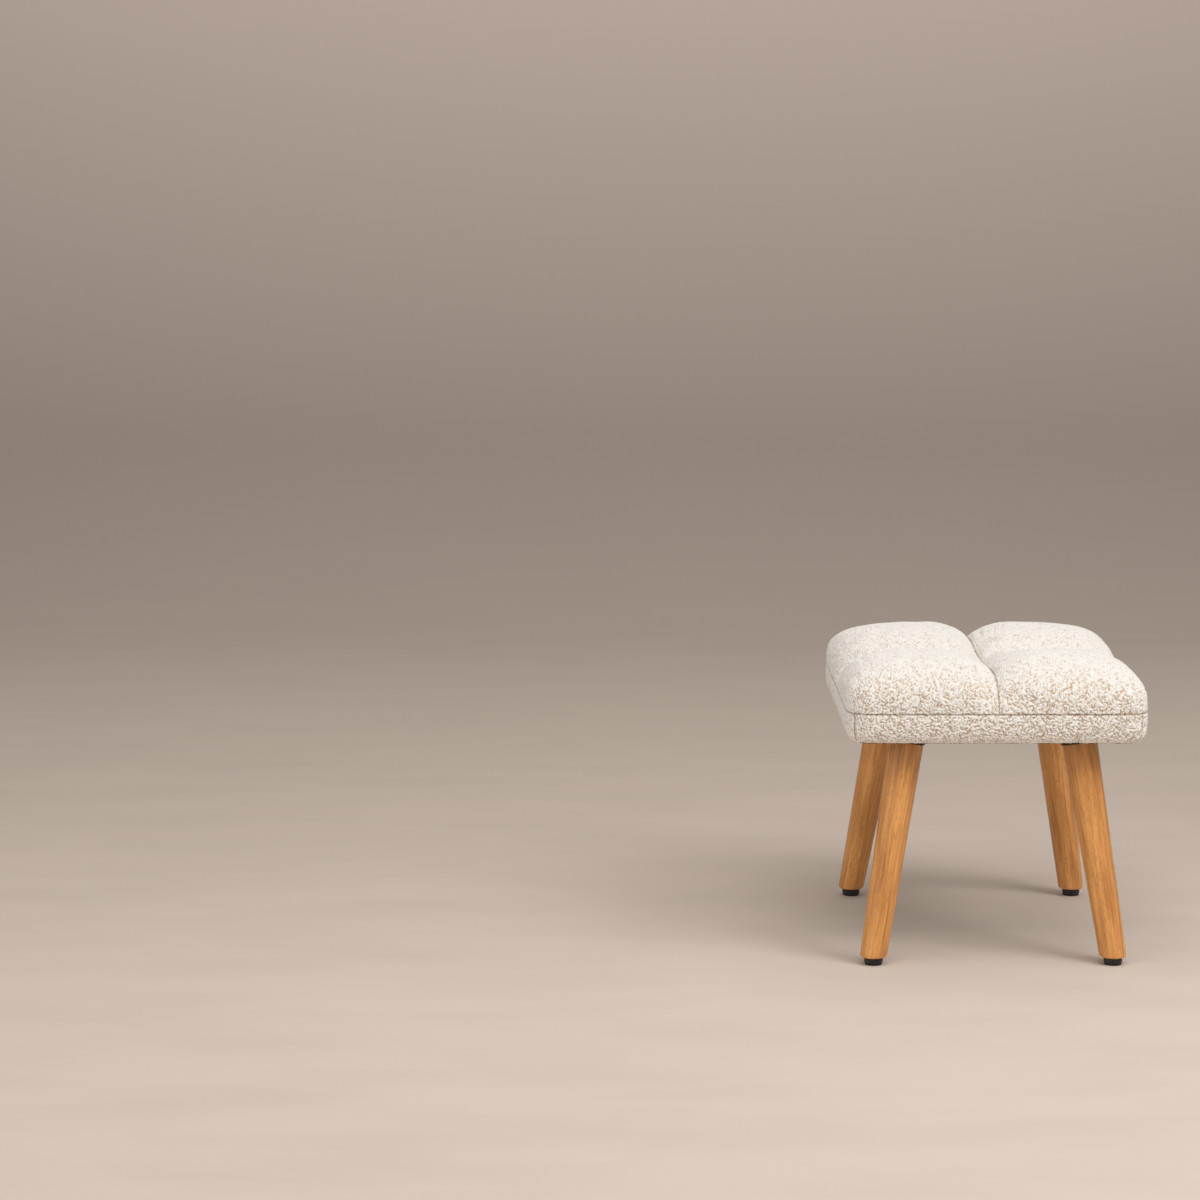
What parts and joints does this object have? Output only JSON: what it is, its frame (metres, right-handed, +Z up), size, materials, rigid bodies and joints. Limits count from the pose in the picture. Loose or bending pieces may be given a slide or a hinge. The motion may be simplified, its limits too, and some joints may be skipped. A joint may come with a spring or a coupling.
{
  "type": "footstool",
  "caption": "Upholstered footstool: a box cushion tufted by two crossing channels, on splayed tapered round legs that end in screw-adjusted levelling feet.",
  "frame": {"origin": "on the floor, under the middle of the stool, with the levelling feet screwed fully in", "axes": "+X along the short side, +Y along the long side to the back, +Z up"},
  "size_m": [0.38, 0.44, 0.3841],
  "materials": {
    "boucle": "cream looped cloth",
    "filling": "foam and soft fibre",
    "tape": "woven",
    "lining": "pressed black cloth",
    "plywood": "sanded",
    "pine": "planed",
    "oak": "satin lacquer, honey tone",
    "pressed_steel": "black satin",
    "zinc_steel": "zinc plated",
    "black_nylon": "fine matt",
    "black_rubber": "matt"
  },
  "bodies": {
    "root": {"quilted_top_panel": "boucle", "cover_band_right": "boucle", "cover_band_left": "boucle", "cover_band_rear": "boucle", "cover_band_front": "boucle", "edge_filling": "filling", "foam_block": "filling", "long_channel_tape": "tape", "cross_channel_tapes": "tape", "deck_panel": "plywood", "left_rail": "pine", "right_rail": "pine", "front_rail": "pine", "rear_rail": "pine", "corner_block_front_left": "pine", "corner_block_front_right": "pine", "corner_block_rear_left": "pine", "corner_block_rear_right": "pine", "dust_cover": "lining", "leg_plate_front_left": "pressed_steel", "leg_front_left": "oak", "leg_plate_front_right": "pressed_steel", "leg_front_right": "oak", "leg_plate_rear_left": "pressed_steel", "leg_rear_left": "oak", "leg_plate_rear_right": "pressed_steel", "leg_rear_right": "oak", "plate_nuts": "zinc_steel", "hanger_bolts": "zinc_steel", "foot_inserts": "zinc_steel"},
    "sole_front_left": {"foot_sole_front_left": "black_rubber"},
    "foot_front_left": {"foot_base_front_left": "black_nylon", "foot_stud_front_left": "zinc_steel"},
    "sole_front_right": {"foot_sole_front_right": "black_rubber"},
    "foot_front_right": {"foot_base_front_right": "black_nylon", "foot_stud_front_right": "zinc_steel"},
    "sole_rear_left": {"foot_sole_rear_left": "black_rubber"},
    "foot_rear_left": {"foot_base_rear_left": "black_nylon", "foot_stud_rear_left": "zinc_steel"},
    "sole_rear_right": {"foot_sole_rear_right": "black_rubber"},
    "foot_rear_right": {"foot_base_rear_right": "black_nylon", "foot_stud_rear_right": "zinc_steel"}
  },
  "joints": [
    {"name": "foot_travel_front_left", "type": "slide", "parent": "root", "child": "sole_front_left", "axis": [0, 0, -1], "range_m": [0, 0.01]},
    {"name": "foot_turn_front_left", "type": "hinge", "parent": "sole_front_left", "child": "foot_front_left", "pos_m": [-0.14892, -0.19092, 0], "axis": [0, 0, -1], "range_deg": [0, 2880]},
    {"name": "foot_travel_front_right", "type": "slide", "parent": "root", "child": "sole_front_right", "axis": [0, 0, -1], "range_m": [0, 0.01]},
    {"name": "foot_turn_front_right", "type": "hinge", "parent": "sole_front_right", "child": "foot_front_right", "pos_m": [0.14892, -0.19092, 0], "axis": [0, 0, -1], "range_deg": [0, 2880]},
    {"name": "foot_travel_rear_left", "type": "slide", "parent": "root", "child": "sole_rear_left", "axis": [0, 0, -1], "range_m": [0, 0.01]},
    {"name": "foot_turn_rear_left", "type": "hinge", "parent": "sole_rear_left", "child": "foot_rear_left", "pos_m": [-0.14892, 0.19092, 0], "axis": [0, 0, -1], "range_deg": [0, 2880]},
    {"name": "foot_travel_rear_right", "type": "slide", "parent": "root", "child": "sole_rear_right", "axis": [0, 0, -1], "range_m": [0, 0.01]},
    {"name": "foot_turn_rear_right", "type": "hinge", "parent": "sole_rear_right", "child": "foot_rear_right", "pos_m": [0.14892, 0.19092, 0], "axis": [0, 0, -1], "range_deg": [0, 2880]}
  ],
  "couplings": [
    {"joint": "foot_travel_front_left", "follows": "foot_turn_front_left", "m_per_rad": 0.00019894},
    {"joint": "foot_travel_front_right", "follows": "foot_turn_front_right", "m_per_rad": 0.00019894},
    {"joint": "foot_travel_rear_left", "follows": "foot_turn_rear_left", "m_per_rad": 0.00019894},
    {"joint": "foot_travel_rear_right", "follows": "foot_turn_rear_right", "m_per_rad": 0.00019894}
  ]
}
